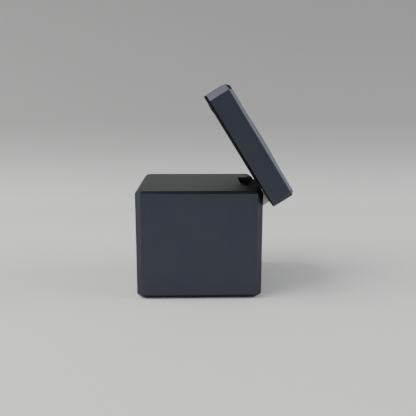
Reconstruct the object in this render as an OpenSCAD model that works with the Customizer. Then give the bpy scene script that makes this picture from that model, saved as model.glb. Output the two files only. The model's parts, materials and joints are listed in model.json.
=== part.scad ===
// Folding charging cube: a chamfered metal cube whose lid tilts up on a friction hinge to hold a
// phone on its round magnetic pad. Under the lid a flat deck charges an earbud case, and a drawer in
// the side slides out with a puck for a watch.
// Origin: centre of the foot's underside. +X is the hinge side, +Z is up, the drawer opens along +Y.

/* [Cube] */
// Width of the cube along X
cube_w = 62; // [61:0.5:80]
// Depth of the cube along Y
cube_d = 62; // [61:0.5:80]
// Height from the table to the deck
body_h = 54.3; // [45:0.1:75]
// Thickness of the metal walls of the cube and of the lid
wall = 2; // [1.6:0.1:2.4]
// Width of the 45 degree cut on the upright edges
corner_cut = 2.8; // [1.5:0.1:4]
// Width of the 45 degree cut round the deck
deck_cut = 1.2; // [0.6:0.1:1.4]
// Width of the 45 degree cut round the base
base_cut = 1.5; // [0.5:0.1:1.8]

/* [Lid] */
// Opening angle of the lid as modelled, 0 when closed
lid_open = 58; // [0:1:60]
// Thickness of the lid's frame
lid_t = 12.2; // [12:0.1:16]
// Width of the 45 degree cut round the lid's outer face
lid_cut = 1.5; // [0.5:0.1:1.6]
// Gap between the closed lid and the deck
lid_gap = 0.7; // [0.5:0.05:1]
// Diameter of the phone pad
pad_d = 56; // [54:0.5:56]
// Height of the pad above the lid's outer face
pad_proud = 0.4; // [0.2:0.1:1]

/* [Hinge] */
// Distance of the hinge axis behind the cube's outer face
hinge_inset = 5.5; // [4.8:0.1:6.4]
// Distance of the hinge axis below the deck
hinge_drop = 8.3; // [7:0.1:10.5]
// Width of the hinge arm along the axis
arm_w = 29; // [20:0.5:31]
// Distance of the arm's rear face from the axis
arm_back = 3.3; // [3:0.1:4.2]
// Diameter of the two hinge pins
pin_d = 3; // [2.5:0.1:3.4]
// Thickness of the bracket's two ears
ear_t = 1.8; // [1.4:0.1:2.2]

/* [Deck] */
// Thickness of the deck plate
deck_t = 1.8; // [1.4:0.1:2.4]
// Outer diameter of the earbud coil
earbud_coil_d = 36; // [24:1:40]

/* [Drawer] */
// Distance from the puck's edge to the side edge of the drawer's front plate
puck_side = 3; // [2.6:0.1:4]
// Height of the drawer's front plate
drawer_h = 11.2; // [10.5:0.1:13]
// Travel of the drawer
drawer_travel = 36; // [20:1:36]
// Outer diameter of the watch puck
puck_d = 30; // [26:0.5:30]

/* [Base] */
// Height that the foot stands below the cube's rim
foot_proud = 0.6; // [0.3:0.1:1.2]
// Thickness of the foot
foot_t = 1; // [0.8:0.1:2]
// Thickness of the base plate
base_t = 2.6; // [2:0.1:4]
// Thickness of the steel ballast
ballast_t = 6.5; // [3:0.5:10]
// Gap between the ballast and the main board
board_lift = 5.4; // [4:0.1:8]
// Thickness of the main board
board_t = 1.6; // [1:0.1:2]

/* [Hidden] */
$fn = 64;

slip = 0.2;              // gap round a piece that drops into another
seam = 0.25;             // visible gap round the drawer's front plate
swing_gap = 0.08;        // least gap between the swinging lid and the cut edge of the deck
hinge_gap = 0.3;         // gap between the hinge arm and its well
pin_play = 0.03;         // radial running clearance of the hinge pins
touch = 0.05;            // gap between faces that rub
far = 200;               // longer than any piece, for cutting tools

// Shell
rim_flat = 0.2;                                  // flat left between the deck cut and the deck plate
rim_z = foot_proud;                              // underside of the shell
inner_w = cube_w - 2 * wall;
inner_d = cube_d - 2 * wall;
inner_cut = corner_cut - wall * (2 - sqrt(2));   // keeps the wall even round the corner
deck_seat_z = body_h - deck_t;
ledge_t = 1.2;                                   // shelf that carries the deck plate
ledge_in = deck_cut + rim_flat + 2;              // from the outer face to the shelf's free edge
ledge_z = deck_seat_z - ledge_t;
boss_s = 6.2;                                    // side of the square corner bosses
boss_x = inner_w / 2 - boss_s / 2;
boss_y = inner_d / 2 - boss_s / 2;
screw_d = 1.9;                                   // shank of the small screws
tap_d = screw_d + 0.04;                          // tapped hole for a small screw
tap_depth = 7;

// Hinge
hinge_x = cube_w / 2 - hinge_inset;
hinge_z = body_h - hinge_drop;
swing_r = hinge_drop + lid_gap;                  // axis to the lid's underside
relief_r = swing_r - swing_gap;                  // the swing relief is a chord of this circle
relief_x = sqrt(relief_r * relief_r - hinge_drop * hinge_drop);
relief_fall = hinge_drop - sqrt(relief_r * relief_r - hinge_inset * hinge_inset);
relief_angle = atan2(relief_fall, hinge_inset - relief_x);
well_r = hinge_inset + hinge_gap;
well_y = arm_w / 2 + hinge_gap;                  // inner half width of the well
well_t = 1;
skin_t = 0.6;                                    // black cover on the arm's rear face
pocket_x = hinge_x - arm_back - hinge_gap;       // rear edge of the pocket in the deck
ear_y = well_y + well_t + 0.1;                   // inner face of an ear
ear_r = hinge_inset - wall - slip;
bracket_t = 2;
bracket_top = hinge_z - well_r - well_t - 1.4;   // top of the bracket's base strip
bracket_x = hinge_x - well_r - well_t;
pin_seat = 8;                                    // depth of a pin in the arm
spring_t = 0.45;
spring_count = 4;
nut_t = 2.2;
nut_af = 4.9;
spring_y = ear_y + ear_t + touch;
nut_y = spring_y + spring_count * spring_t + touch;
pin_end_y = nut_y + nut_t + 0.3;
cable_d = 1.8;
cable_bore = 2.4;
cable_exit = [-2.9, -5];                         // where the lower cable leaves the barrel, from the axis
max_open = 60;                                   // the lid's real limit

// Drawer bay, hung from the deck
coil_x = (pocket_x - cube_w / 2) / 2;            // middle of the free part of the deck
carrier_t = 3;
coil_floor_t = 0.8;                              // floor under the earbud coil's ferrite
ferrite_t = 0.7;
carrier_z = deck_seat_z - 0.1 - carrier_t;
bay_top_t = 1.2;
bay_ceiling = carrier_z - 0.1 - bay_top_t;
front_rise = 0.1;                                // drawer front below the bay ceiling
front_z = bay_ceiling - front_rise - drawer_h;
bay_floor = front_z + 0.3;
bay_floor_t = 1.5;
bay_wall = 1.9;
drawer_w = puck_d + 2 * puck_side;
tray_w = drawer_w - 3;
bay_w = tray_w + 0.5;
bay_x = bracket_x - touch - bay_wall - bay_w / 2; // middle of the drawer, beside the hinge
bay_side_x = bay_x - bay_w / 2 - bay_wall;       // outer face of the bay's free side
bay_back = -inner_d / 2 + slip;
bay_front = inner_d / 2 - slip;
bay_back_t = 1.9;
groove_end_t = 1.3;                              // stop in front of the rail grooves
rib = [1, 1.6];                                  // rail rib, out and up
rib_z = bay_floor + 3.3;
rib_play = 0.25;
tray_floor = bay_floor + 0.3;
tray_floor_t = 2;
tray_side_h = 6;
tray_side_t = 1.2;
tray_back = bay_back + bay_back_t + 0.4;
tray_back_t = 1.9;
tray_front = cube_d / 2 - wall;                  // back face of the front plate
tray_lip_t = 1.6;
rib_front = bay_front - groove_end_t - 0.2 - drawer_travel;
puck_y = tray_front - tray_lip_t - 0.2 - puck_d / 2;
puck_z = tray_floor + tray_floor_t;
puck_top = bay_ceiling - 1.2;
magnet_d = 4;
magnet_t = 1.5;
magnet_z = tray_floor + 3;
boss_end = bracket_top;                          // lower end of the upper corner bosses
flex_w = 5;
flex_t = 0.3;
flex_loop_y = -cube_d / 2 + 11.5;
flex_top = bay_ceiling;                          // upper face of the fixed flex

// Base and board
base_z = foot_t;
base_top = base_z + base_t;
ballast_top = base_top + ballast_t;
ballast_cut = 12;
board_z = ballast_top + board_lift;
board_top = board_z + board_t;
board_x0 = -inner_w / 2 + 0.6;
board_x1 = inner_w / 2 - 3;
board_d = inner_d - 8;
post_x = 20;
post_y = 19;
usb = [7.3, 8.94, 3.26];                         // receptacle: length, width, height
usb_x = -cube_w / 2 + 0.6;                       // mouth of the receptacle
usb_z = board_top + usb[2] / 2;
led_z = board_top + 1;
pipe_d = 2;

// Lid stack, measured up from the lid's underside
lid_skin = 1.6;                                  // outer wall round the pad
flange_t = 0.4;                                  // black flange that edges the lid's underside
cover_z = 0;
cover_t = 1.6;
plate_z = 2;
plate_t = 1.5;
post_h = 1.1;
lid_board_t = 1;
lid_board_z = plate_z + plate_t + post_h;
lid_board_w = 34;
lid_board_d = 34;
lid_board_x = -8;                                // middle of the lid's board
pad_r = pad_d / 2;
pad_seat = lid_t - lid_skin;
carrier_floor = pad_seat - 3.4;
carrier_floor_t = 1;
lid_boss = 5.4;
carrier_d = min(inner_w, inner_d) - 0.6;         // the pad's carrier fills the lid's inside
bumper_y = 6;                                    // the two bumpers, each side of the middle
coil_wire = 1;

function octagon(w, d, cut) = [
    [w / 2 - cut, -d / 2], [w / 2, -d / 2 + cut], [w / 2, d / 2 - cut], [w / 2 - cut, d / 2],
    [-w / 2 + cut, d / 2], [-w / 2, d / 2 - cut], [-w / 2, -d / 2 + cut], [-w / 2 + cut, -d / 2]
];

// Four points mirrored in both middle planes.
function corners(x, y) = [[x, y], [-x, y], [-x, -y], [x, -y]];

module slab(w, d, z0, z1, cut) {
    translate([0, 0, z0]) linear_extrude(z1 - z0) polygon(octagon(w, d, cut));
}

module block(x0, x1, y0, y1, z0, z1) {
    translate([x0, y0, z0]) cube([x1 - x0, y1 - y0, z1 - z0]);
}

module rod(d, z0, z1) {
    translate([0, 0, z0]) cylinder(d = d, h = z1 - z0);
}

module rod_x(d, x0, x1) {
    translate([x0, 0, 0]) rotate([0, 90, 0]) cylinder(d = d, h = x1 - x0);
}

module rod_y(d, y0, y1) {
    translate([0, y0, 0]) rotate([-90, 0, 0]) cylinder(d = d, h = y1 - y0);
}

// A bar along Y whose long edges are cut at 45 degrees.
module cut_bar(half, z0, z1, top, bottom) {
    rotate([90, 0, 0]) linear_extrude(far, center = true) polygon([
        [-half + bottom, z0], [half - bottom, z0], [half, z0 + bottom], [half, z1 - top],
        [half - top, z1], [-half + top, z1], [-half, z1 - top], [-half, z0 + bottom]
    ]);
}

// An octagonal block with every edge of its top and bottom cut at 45 degrees.
module cut_block(w, d, z0, z1, cut, top, bottom) {
    diagonal = (w / 2 + d / 2 - cut) / sqrt(2);
    intersection() {
        slab(w, d, z0, z1, cut);
        cut_bar(w / 2, z0, z1, top, bottom);
        rotate([0, 0, 90]) cut_bar(d / 2, z0, z1, top, bottom);
        rotate([0, 0, 45]) cut_bar(diagonal, z0, z1, top, bottom);
        rotate([0, 0, -45]) cut_bar(diagonal, z0, z1, top, bottom);
    }
}

// A slot along Y with round corners, centred on X and Z.
module round_slot_y(w, h, r, y0, y1) {
    block(-w / 2 + r, w / 2 - r, y0, y1, -h / 2, h / 2);
    block(-w / 2, w / 2, y0, y1, -h / 2 + r, h / 2 - r);
    for (p = corners(w / 2 - r, h / 2 - r)) translate([p[0], 0, p[1]]) rod_y(2 * r, y0, y1);
}

// A slot along X with fully round ends, centred on Y and Z.
module port_slot_x(w, h, x0, x1) {
    block(x0, x1, -w / 2 + h / 2, w / 2 - h / 2, -h / 2, h / 2);
    for (s = [-1, 1]) translate([0, s * (w - h) / 2, 0]) rod_x(h, x0, x1);
}

// A round wire through a list of points.
module wire(points, d) {
    for (i = [0 : len(points) - 2]) {
        run = points[i + 1] - points[i];
        translate(points[i])
            rotate([0, acos(run[2] / norm(run)), atan2(run[1], run[0])])
                cylinder(d = d, h = norm(run), $fn = 24);
        if (i > 0) translate(points[i]) sphere(d = d + 0.2, $fn = 24);
    }
}

// A cap screw whose head sits on z = 0, with its shank below.
module cap_screw(d, length, head_d, head_h) {
    difference() {
        union() {
            rod(d, -length, 0.01);
            rod(head_d, 0, head_h);
        }
        translate([0, 0, head_h / 2]) cylinder(d = d, h = head_h, $fn = 6);
    }
}

// A flat-head screw whose top is flush with z = 0.
module flat_screw(d, length, head_d) {
    head_h = (head_d - d) / 2;
    difference() {
        union() {
            rod(d, -length, 0);
            translate([0, 0, -head_h]) cylinder(d1 = d, d2 = head_d, h = head_h);
        }
        translate([0, 0, -d / 2]) cylinder(d = d * 0.9, h = d, $fn = 6);
    }
}

module flat_hole(d, head_d, depth) {
    head_h = (head_d - d) / 2;
    rod(d, -depth, 1);
    translate([0, 0, -head_h]) cylinder(d1 = d, d2 = head_d, h = head_h);
    rod(head_d, -0.001, 1);
}

// A flat spiral winding seen as touching rings of wire, lying on z = 0.
module winding(inner_d, outer_d, pitch) {
    turns = floor((outer_d - inner_d) / 2 / pitch);
    rotate_extrude() {
        translate([inner_d / 2, 0]) square([turns * pitch, pitch * 0.45]);
        for (i = [0 : turns - 1])
            translate([inner_d / 2 + (i + 0.5) * pitch, pitch / 2]) circle(d = pitch * 0.98, $fn = 24);
    }
}

// Children are given in the closed lid's frame: z = 0 is its underside, x and y as on the cube.
module in_lid() {
    translate([hinge_x, 0, hinge_z]) rotate([0, lid_open, 0]) translate([-hinge_x, 0, swing_r])
        children();
}

// Children are given round the hinge axis and turn with the lid.
module on_axis() {
    translate([hinge_x, 0, hinge_z]) rotate([0, lid_open, 0]) children();
}

// The sloping cut along the hinge side of the deck that lets the lid's underside swing past.
module swing_relief() {
    translate([hinge_x + relief_x, 0, body_h]) rotate([0, relief_angle - 90, 0])
        block(0, far, -far / 2, far / 2, -far, far);
}

// The hinge arm's way through the deck and the wall. Its sloping sill stops the arm's end face.
module arm_gap(half_y) {
    side = -arm_back - hinge_gap;
    sill = well_r - 0.08;
    low = [sill * cos(max_open), -sill * sin(max_open)];
    out = low + far * [sin(max_open), cos(max_open)];
    translate([hinge_x, 0, hinge_z]) rotate([90, 0, 0]) linear_extrude(2 * half_y, center = true)
        polygon([[side, far], [side, 0], [0, 0], low, out, [out[0], far]]);
}

// The arm's whole space inside the well.
module arm_space(half_y) {
    arm_gap(half_y);
    translate([hinge_x, 0, hinge_z]) rod_y(2 * well_r, -half_y, half_y);
}

// ---- Cube ----

module shell_bosses() {
    difference() {
        for (p = corners(boss_x + 0.5, boss_y + 0.5)) translate([p[0], p[1], 0]) {
            block(-boss_s / 2, boss_s / 2, -boss_s / 2, boss_s / 2, boss_end, ledge_z + 0.01);
            block(-boss_s / 2, boss_s / 2, -boss_s / 2, boss_s / 2, base_top, base_top + 8);
        }
        for (p = corners(boss_x, boss_y)) translate([p[0], p[1], 0]) {
            rod(tap_d, boss_end - 1, boss_end + tap_depth);
            rod(tap_d, base_top - 1, base_top + tap_depth);
        }
    }
}

module body_shell() {
    color([0.21, 0.23, 0.26]) {
        intersection() {
            union() {
                difference() {
                    cut_block(cube_w, cube_d, rim_z, body_h, corner_cut, deck_cut, base_cut);
                    slab(inner_w, inner_d, -1, ledge_z, inner_cut);
                    slab(cube_w - 2 * ledge_in, cube_d - 2 * ledge_in, 0, far, inner_cut);
                    slab(cube_w - 2 * (deck_cut + rim_flat), cube_d - 2 * (deck_cut + rim_flat),
                        deck_seat_z, far, corner_cut - deck_cut / 2);
                    arm_gap(well_y);
                    block(bracket_x - slip, inner_w / 2, -well_y - well_t - slip,
                        well_y + well_t + slip, ledge_z - 1, deck_seat_z + 0.01);
                    translate([bay_x, 0, front_z + drawer_h / 2]) round_slot_y(drawer_w + 2 * seam,
                        drawer_h + 2 * seam, 1.6 + seam, inner_d / 2 - 1, far);
                    translate([0, 0, usb_z])
                        port_slot_x(usb[1] + 0.5, usb[2] + 0.5, -far, -inner_w / 2 + 1);
                    translate([0, 0, led_z]) rod_x(pipe_d, inner_w / 2 - 1, far);
                    swing_relief();
                }
                shell_bosses();
            }
            slab(cube_w, cube_d, 0, far, corner_cut);
        }
    }
}

module deck_plate() {
    edge = deck_cut + rim_flat + 0.1;
    color([0.30, 0.31, 0.32]) difference() {
        slab(cube_w - 2 * edge, cube_d - 2 * edge, deck_seat_z, body_h, corner_cut - deck_cut / 2);
        arm_gap(well_y);
        swing_relief();
    }
}

carrier_x0 = -cube_w / 2 + ledge_in + slip;
carrier_x1 = bracket_x - slip;
carrier_y = cube_d / 2 - ledge_in - slip;
carrier_screw_at = [
    [carrier_x0 + 3.2, 17], [carrier_x0 + 3.2, -17],
    [carrier_x1 - 2.6, carrier_y - 4], [carrier_x1 - 2.6, 4 - carrier_y]
];

module coil_carrier() {
    color([0.12, 0.12, 0.13]) difference() {
        block(carrier_x0, carrier_x1, -carrier_y, carrier_y, carrier_z, carrier_z + carrier_t);
        for (s = [-1, 1]) translate([-boss_x - 0.5, s * (boss_y + 0.5), 0])
            block(-far, boss_s / 2 + slip, -boss_s / 2 - slip, boss_s / 2 + slip, 0, far);
        translate([coil_x, 0, 0]) rod(earbud_coil_d + 0.6, carrier_z + coil_floor_t, far);
        block(carrier_x0 - 1, coil_x, 2.2, 5.6, carrier_z + coil_floor_t, far);
        for (p = carrier_screw_at) translate([p[0], p[1], 0]) {
            rod(2.2, 0, far);
            rod(4, carrier_z + 1.4, far);
        }
    }
}

module earbud_ferrite() {
    color([0.16, 0.15, 0.15]) translate([coil_x, 0, carrier_z + coil_floor_t])
        rod(earbud_coil_d, 0, ferrite_t);
}

module earbud_coil() {
    color("chocolate") translate([coil_x, 0, carrier_z + coil_floor_t + ferrite_t])
        winding(14, earbud_coil_d - 1, coil_wire);
}

module earbud_leads() {
    coil_r = 7 + floor((earbud_coil_d - 15) / 2 / coil_wire) * coil_wire;
    drop_x = carrier_x0 - 0.7;
    z0 = carrier_z + coil_floor_t + ferrite_t + coil_wire / 2;
    z1 = carrier_z + coil_floor_t + 0.52;
    color("gold") for (i = [0, 1]) {
        y = 3.2 + 1.4 * i;
        end_x = board_x0 + 6.8 - 2.2 * i;
        wire([
            [coil_x - sqrt(coil_r * coil_r - y * y) - touch, y, z0],
            [coil_x - earbud_coil_d / 2 - 0.6, y, z0], [coil_x - earbud_coil_d / 2 - 1.4, y, z1],
            [drop_x, y, z1], [drop_x, y, board_top + 5],
            [end_x, 9.2, board_top + 1.6], [end_x, 10.8, board_top + 1.6]
        ], 0.8);
    }
}

// ---- Hinge, the part that stays with the cube ----

module hinge_well() {
    color([0.05, 0.05, 0.055]) difference() {
        block(bracket_x, inner_w / 2 - 0.1, -well_y - well_t, well_y + well_t,
            hinge_z - well_r - well_t, deck_seat_z);
        arm_space(well_y);
        translate([hinge_x, 0, hinge_z]) {
            rod_y(pin_d + 1.2, -far, far);
            translate([cable_exit[0], 0, 0]) rod(cable_bore, -far, -3);
        }
    }
}

foot_x1 = inner_w / 2 - slip;
foot_y1 = inner_d / 2 - slip;

module hinge_bracket() {
    color("silver") difference() {
        union() {
            intersection() {
                block(bracket_x, foot_x1, -foot_y1, foot_y1, bracket_top - bracket_t, bracket_top);
                slab(2 * foot_x1, 2 * foot_y1, 0, far, inner_cut);
            }
            for (s = [-1, 1]) {
                y = s > 0 ? ear_y : -ear_y - ear_t;
                block(hinge_x - ear_r, hinge_x + ear_r, y, y + ear_t, bracket_top - 0.5, hinge_z);
                translate([hinge_x, 0, hinge_z]) rod_y(2 * ear_r, y, y + ear_t);
            }
        }
        translate([hinge_x, 0, hinge_z]) {
            rod_y(pin_d + 2 * pin_play, -far, far);
            translate([cable_exit[0], 0, 0]) rod(cable_bore + 0.6, -far, -well_r);
        }
        for (s = [-1, 1]) translate([boss_x, s * boss_y, 0]) rod(2.3, 0, bracket_top + 1);
    }
}

module lid_cable_lower() {
    x = hinge_x + cable_exit[0];
    z = hinge_z + cable_exit[1];
    start = 0.6 * cable_exit / norm(cable_exit);
    color([0.1, 0.1, 0.1]) wire([
        [hinge_x + start[0], 0, hinge_z + start[1]], [x, 0, z], [x, 0, board_top + 9],
        [x - 4, 3.5, board_top + 1.9], [x - 4, 6.5, board_top + 1.9]
    ], cable_d);
}

// ---- Drawer bay ----

module bay_frame() {
    half = bay_w / 2 + bay_wall;
    tab_x = inner_w / 2 - slip;
    tab_y = inner_d / 2 - slip;
    side_x1 = carrier_x1 - 0.1;
    color([0.16, 0.16, 0.17]) difference() {
        union() {
            block(bay_x - half, bay_x + half, bay_back, bay_front, bay_floor - bay_floor_t,
                bay_ceiling + bay_top_t);
            intersection() {
                union() {
                    block(-tab_x, side_x1, bay_back, bay_front, bay_ceiling, bay_ceiling + bay_top_t);
                    // rear tabs reach under the rear corner bosses
                    for (s = [-1, 1]) {
                        y0 = s > 0 ? tab_y - boss_s - 2 : -tab_y;
                        block(-tab_x, bay_x - half + 1, y0, y0 + boss_s + 2, bay_floor - bay_floor_t,
                            min(bay_floor, boss_end));
                        block(-tab_x, -boss_x + boss_s / 2, y0, y0 + boss_s + 2,
                            bay_floor - bay_floor_t, boss_end);
                        // front tabs pass under the bracket's feet
                        block(bay_x + half - 1, tab_x, y0, y0 + boss_s + 2,
                            min(bracket_top - bracket_t, bay_floor) - 1.6, bracket_top - bracket_t);
                    }
                }
                slab(2 * tab_x, 2 * tab_y, 0, far, inner_cut);
            }
        }
        // bay, rail grooves and the way out
        block(bay_x - bay_w / 2, bay_x + bay_w / 2, bay_back + bay_back_t, far, bay_floor,
            bay_ceiling);
        for (s = [-1, 1]) translate([bay_x + s * bay_w / 2, 0, 0])
            block(-rib[0] - 0.1, rib[0] + 0.1, bay_back + bay_back_t, bay_front - groove_end_t,
                rib_z - rib_play, rib_z + rib[1] + rib_play);
        // clear of the upper bosses
        for (s = [-1, 1]) translate([-boss_x - 0.5, s * (boss_y + 0.5), 0])
            block(-boss_s / 2 - slip, boss_s / 2 + slip, -boss_s / 2 - slip, boss_s / 2 + slip,
                boss_end, far);
        // room for the earbud leads and the drawer flex
        block(-far, carrier_x0 + 0.3, 1.2, 6.6, bay_ceiling - 1, far);
        block(bay_x - half - 1, bay_x - bay_w / 2 + 1, flex_y0 - 0.4, flex_y0 + flex_w + 0.4,
            flex_top - flex_t - 0.2, flex_top);
        for (p = corners(boss_x, boss_y)) translate([p[0], p[1], 0]) rod(2.3, 0, boss_end + 0.01);
        for (p = carrier_screw_at) translate([p[0], p[1], 0]) rod(tap_d, bay_ceiling - 1, far);
        translate([bay_x, 0, magnet_z]) rod_y(magnet_d + 0.1, bay_back + bay_back_t - magnet_t, 0);
    }
}

// Four screws hang the bay from the shell, and four fix the coil's carrier to the bay.
module bay_screws() {
    front_tab_z = min(bracket_top - bracket_t, bay_floor) - 1.6;
    color("silver") {
        for (s = [-1, 1]) {
            translate([-boss_x, s * boss_y, bay_floor - bay_floor_t]) mirror([0, 0, 1])
                cap_screw(screw_d, 6, 3.6, 1.4);
            translate([boss_x, s * boss_y, front_tab_z]) mirror([0, 0, 1])
                cap_screw(screw_d, 7, 3.6, 1.4);
        }
        for (p = carrier_screw_at)
            translate([p[0], p[1], carrier_z + 1.4]) cap_screw(screw_d, 3.6, 3.6, 1.3);
    }
}

module bay_magnet() {
    color("silver") translate([bay_x, 0, magnet_z])
        rod_y(magnet_d, bay_back + bay_back_t - magnet_t, bay_back + bay_back_t);
}

flex_y0 = -6;                                    // rear edge of the cross run of the fixed flex

module drawer_flex_fixed() {
    z0 = flex_top - flex_t;
    side_x = bay_side_x - 0.6;
    color("darkorange") {
        block(bay_x - flex_w / 2, bay_x + flex_w / 2, flex_loop_y, flex_y0 + flex_w, z0,
            flex_top);
        block(side_x, bay_x + flex_w / 2, flex_y0, flex_y0 + flex_w, z0, flex_top);
        block(side_x, side_x + flex_t, flex_y0, flex_y0 + flex_w, board_top + 3.3, flex_top);
    }
}

// ---- Main board ----

module main_board() {
    color([0.04, 0.22, 0.12]) difference() {
        block(board_x0, board_x1, -board_d / 2, board_d / 2, board_z, board_top);
        for (p = corners(post_x, post_y)) translate([p[0], p[1], 0]) rod(2.7, 0, far);
    }
}

module board_screws() {
    color("silver") for (p = corners(post_x, post_y))
        translate([p[0], p[1], board_top]) cap_screw(2.4, board_t + board_lift - 1.4, 4.4, 1.6);
}

module standoffs() {
    color("goldenrod") for (p = corners(post_x, post_y)) translate([p[0], p[1], 0]) difference() {
        union() {
            translate([0, 0, ballast_top]) cylinder(d = 5.5, h = board_lift, $fn = 6);
            rod(2.5, ballast_top - 2.4, ballast_top + 0.01);
        }
        rod(2.5, ballast_top + 1, far);
    }
}

module board_chips() {
    color([0.06, 0.06, 0.07]) translate([0, 0, board_top]) {
        block(-6.5, 0.5, -4.6, 2.4, 0, 0.9);
        block(6, 11, 6, 11, 0, 0.9);
        block(6, 11, -3, 2, 0, 0.9);
        block(-14, -10, 12, 17, 0, 1.6);
    }
}

module inductors() {
    color([0.22, 0.22, 0.23]) for (y = [-21, -12.5, 14.5]) translate([4, y, board_top])
        intersection() {
            block(0, 7, 0, 7, 0, 4.2);
            translate([3.5, 3.5, 0]) rod(9, 0, 4.2);
        }
}

module capacitors() {
    // beside the drawer's connector
    color([0.62, 0.63, 0.65]) for (p = [[4.7, -8], [4.7, -16], [11.7, -20]])
        translate([bay_side_x + p[0], p[1], board_top]) {
            block(-3.2, 3.2, -3.2, 3.2, 0, 0.8);
            rod(6.2, 0, 6.6);
        }
}

module board_connectors() {
    x = hinge_x + cable_exit[0] - 4;
    color([0.85, 0.83, 0.76]) translate([0, 0, board_top]) {
        block(x - 3, x + 2.6, 6.5, 9.6, 0, 3.4);
        block(board_x0 + 3.6, board_x0 + 8, 10.8, 15.4, 0, 3.2);
        block(bay_side_x - 2, bay_side_x + 1, flex_y0 - 0.8, flex_y0 + flex_w + 0.8, 0, 3.3);
    }
}

module usb_shell() {
    color("silver") translate([0, 0, usb_z]) difference() {
        port_slot_x(usb[1], usb[2], usb_x, usb_x + usb[0]);
        port_slot_x(usb[1] - 0.7, usb[2] - 0.7, -far, usb_x + usb[0] - 0.6);
    }
}

module usb_tongue() {
    color([0.03, 0.03, 0.03]) translate([0, 0, usb_z]) {
        block(usb_x + 0.9, usb_x + usb[0] - 0.6, -3.35, 3.35, -0.35, 0.35);
        block(usb_x + 5, usb_x + usb[0] - 0.6, -3.2, 3.2, -1.2, 1.2);
    }
}

module status_led() {
    color("white") block(board_x1 - 2.4, board_x1 - 0.8, -0.8, 0.8, board_top, board_top + 1.9);
}

module light_pipe() {
    color([0.9, 0.95, 1]) translate([0, 0, led_z]) difference() {
        union() {
            rod_x(pipe_d - 0.04, board_x1 - 0.6, cube_w / 2);
            rod_x(pipe_d + 1, board_x1 - 0.6, inner_w / 2 - 0.05);
        }
        block(-far, far, -far, far, -far, board_top - led_z + touch);
    }
}

// ---- Base ----

module ballast() {
    color([0.42, 0.43, 0.45]) difference() {
        slab(inner_w - 1.2, inner_d - 1.2, base_top, ballast_top, ballast_cut);
        for (p = corners(post_x, post_y)) translate([p[0], p[1], 0])
            rod(2.55, ballast_top - 3, far);
        for (s = [-1, 1]) translate([s * 10, 0, 0]) rod(tap_d + 0.6, base_top - 1, base_top + 5);
    }
}

module base_plate() {
    color([0.12, 0.12, 0.13]) difference() {
        slab(inner_w - 2 * slip, inner_d - 2 * slip, base_z, base_top, inner_cut);
        for (p = corners(boss_x, boss_y)) translate([p[0], p[1], base_z])
            mirror([0, 0, 1]) flat_hole(2.2, 3.9, far);
        for (s = [-1, 1]) translate([s * 10, 0, base_z]) mirror([0, 0, 1]) flat_hole(2.8, 4.8, far);
    }
}

module base_screws() {
    color("silver") {
        for (p = corners(boss_x, boss_y)) translate([p[0], p[1], base_z]) mirror([0, 0, 1])
            flat_screw(screw_d, base_t + 5, 3.6);
        for (s = [-1, 1]) translate([s * 10, 0, base_z]) mirror([0, 0, 1])
            flat_screw(2.5, base_t + 4, 4.5);
    }
}

module foot_pad() {
    color([0.07, 0.07, 0.07]) cut_block(inner_w - 3, inner_d - 3, 0, foot_t, 4, 0.01, 0.3);
}

// ---- Lid ----

module lid_frame() {
    color([0.21, 0.23, 0.26]) in_lid() intersection() {
        union() {
            difference() {
                cut_block(cube_w, cube_d, flange_t, lid_t, corner_cut, lid_cut, 0.01);
                slab(inner_w, inner_d, -1, pad_seat, inner_cut);
                rod(pad_d + 0.3, 0, far);
            }
            for (p = corners(inner_w / 2 - lid_boss / 2 + 0.5, inner_d / 2 - lid_boss / 2 + 0.5))
                difference() {
                    translate([p[0], p[1], 0]) block(-lid_boss / 2, lid_boss / 2, -lid_boss / 2,
                        lid_boss / 2, plate_z + plate_t, pad_seat + 0.01);
                    translate([plate_screw_x * sign(p[0]), plate_screw_y * sign(p[1]), 0])
                        rod(tap_d, 0, plate_z + plate_t + 5);
                }
        }
        slab(cube_w, cube_d, -1, far, corner_cut);
    }
}

plate_screw_x = inner_w / 2 - lid_boss / 2;
plate_screw_y = inner_d / 2 - lid_boss / 2;
arm_hole_y = arm_w / 2 + 0.1;

module lid_cover() {
    color([0.07, 0.07, 0.075]) in_lid() difference() {
        union() {
            slab(inner_w - slip, inner_d - slip, cover_z, cover_z + cover_t, inner_cut);
            slab(cube_w - 0.1, cube_d - 0.1, cover_z, flange_t, corner_cut);
        }
        block(hinge_x - arm_back - 0.1, far, -arm_hole_y, arm_hole_y, -1, far);
        for (s = [-1, 1]) translate([-inner_w / 2 + 5, s * bumper_y, 0])
            rod(5.1, -1, cover_z + 0.8);
    }
}

module lid_bumpers() {
    color([0.04, 0.04, 0.04]) in_lid() for (s = [-1, 1])
        translate([-inner_w / 2 + 5, s * bumper_y, 0])
            rod(5, -lid_gap + touch, cover_z + 0.8);
}

arm_screw_y = [-arm_w / 2 + 3.5, -arm_w / 2 + 8.5, arm_w / 2 - 8.5, arm_w / 2 - 3.5];
arm_screw_x = hinge_x - 0.4;

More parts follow.
